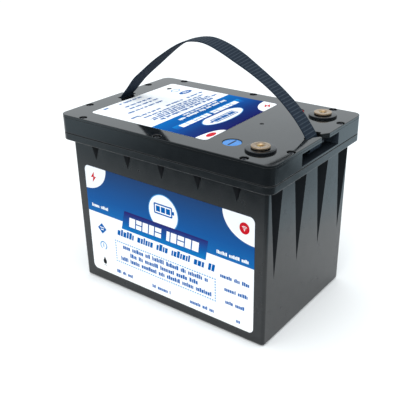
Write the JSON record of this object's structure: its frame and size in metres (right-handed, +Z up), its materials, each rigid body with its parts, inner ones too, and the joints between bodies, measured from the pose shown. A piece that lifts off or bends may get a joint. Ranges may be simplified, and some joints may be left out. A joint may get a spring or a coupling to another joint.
{
  "type": "deep cycle battery",
  "caption": "Sealed leisure battery: ribbed rectangular case, screwed glossy lid, threaded brass terminals on round seats and an arched webbing carry strap.",
  "frame": {"origin": "centre of the underside of the case", "axes": "+Z up, X along the long side with both terminals at the +X end, the large label on the -Y side"},
  "size_m": [0.26, 0.176, 0.2713],
  "materials": {
    "abs_case": "fine-textured black moulded case, satin",
    "abs_lid": "smooth black moulding, semi-gloss",
    "abs_cover": "polished black plate, mirror gloss",
    "seal_rubber": "black sealing rubber",
    "screw_steel": "blackened steel screw",
    "terminal_brass": "turned brass, lightly brushed",
    "seat_polymer": "glossy black polymer",
    "zinc_steel": "zinc plated steel",
    "tinned_copper": "tinned copper",
    "disc_blue": "blue inlay with a minus",
    "disc_red": "red inlay with a plus",
    "lens_smoke": "smoked light window",
    "label_film": "printed film label, satin",
    "strap_webbing": "ribbed woven webbing, dark",
    "foam_pad": "closed-cell foam",
    "cell_can": "aluminium can in blue film",
    "fibre_sheet": "insulating sheet",
    "end_plate_alloy": "mill finish aluminium",
    "board_green": "circuit board",
    "module_black": "black moulded component",
    "lead_red": "red insulated lead",
    "lead_black": "black insulated lead",
    "harness_white": "pale insulated wire"
  },
  "bodies": {
    "root": {"case_tub": "abs_case", "lid_frame": "abs_lid", "top_cover": "abs_cover", "lid_seal": "seal_rubber", "cover_screw_01": "screw_steel", "cover_screw_02": "screw_steel", "cover_screw_03": "screw_steel", "cover_screw_04": "screw_steel", "cover_screw_05": "screw_steel", "cover_screw_06": "screw_steel", "cover_screw_07": "screw_steel", "cover_screw_08": "screw_steel", "cover_screw_09": "screw_steel", "cover_screw_10": "screw_steel", "terminal_negative": "terminal_brass", "terminal_positive": "terminal_brass", "terminal_seat_negative": "seat_polymer", "terminal_seat_positive": "seat_polymer", "terminal_nut_negative": "zinc_steel", "terminal_nut_positive": "zinc_steel", "terminal_washer_negative": "zinc_steel", "terminal_washer_positive": "zinc_steel", "strap_pin_left": "zinc_steel", "strap_pin_right": "zinc_steel", "busbar_1_2": "tinned_copper", "busbar_2_3": "tinned_copper", "busbar_3_4": "tinned_copper", "polarity_disc_negative": "disc_blue", "polarity_disc_positive": "disc_red", "status_lens": "lens_smoke", "label_top": "label_film", "label_front": "label_film", "strap_end_left": "strap_webbing", "strap_end_right": "strap_webbing", "base_pad": "foam_pad", "cell_1": "cell_can", "cell_2": "cell_can", "cell_3": "cell_can", "cell_4": "cell_can", "cell_spacer_1": "fibre_sheet", "cell_spacer_2": "fibre_sheet", "cell_spacer_3": "fibre_sheet", "insulation_tray": "fibre_sheet", "end_plate_left": "end_plate_alloy", "end_plate_right": "end_plate_alloy", "bms_heat_sink": "end_plate_alloy", "bms_board": "board_green", "wireless_module": "board_green", "balance_connector": "module_black", "power_transistor_bank": "module_black", "temperature_probe": "module_black", "lead_positive": "lead_red", "lead_negative": "lead_black", "lead_output": "lead_black", "balance_harness": "harness_white"},
    "handle": {"carry_strap": "strap_webbing"}
  },
  "joints": [
    {"name": "handle_tilt", "type": "hinge", "parent": "root", "child": "handle", "pos_m": [0, 0.0005, 0.199], "axis": [1, 0, 0], "range_deg": [-70, 70]}
  ]
}
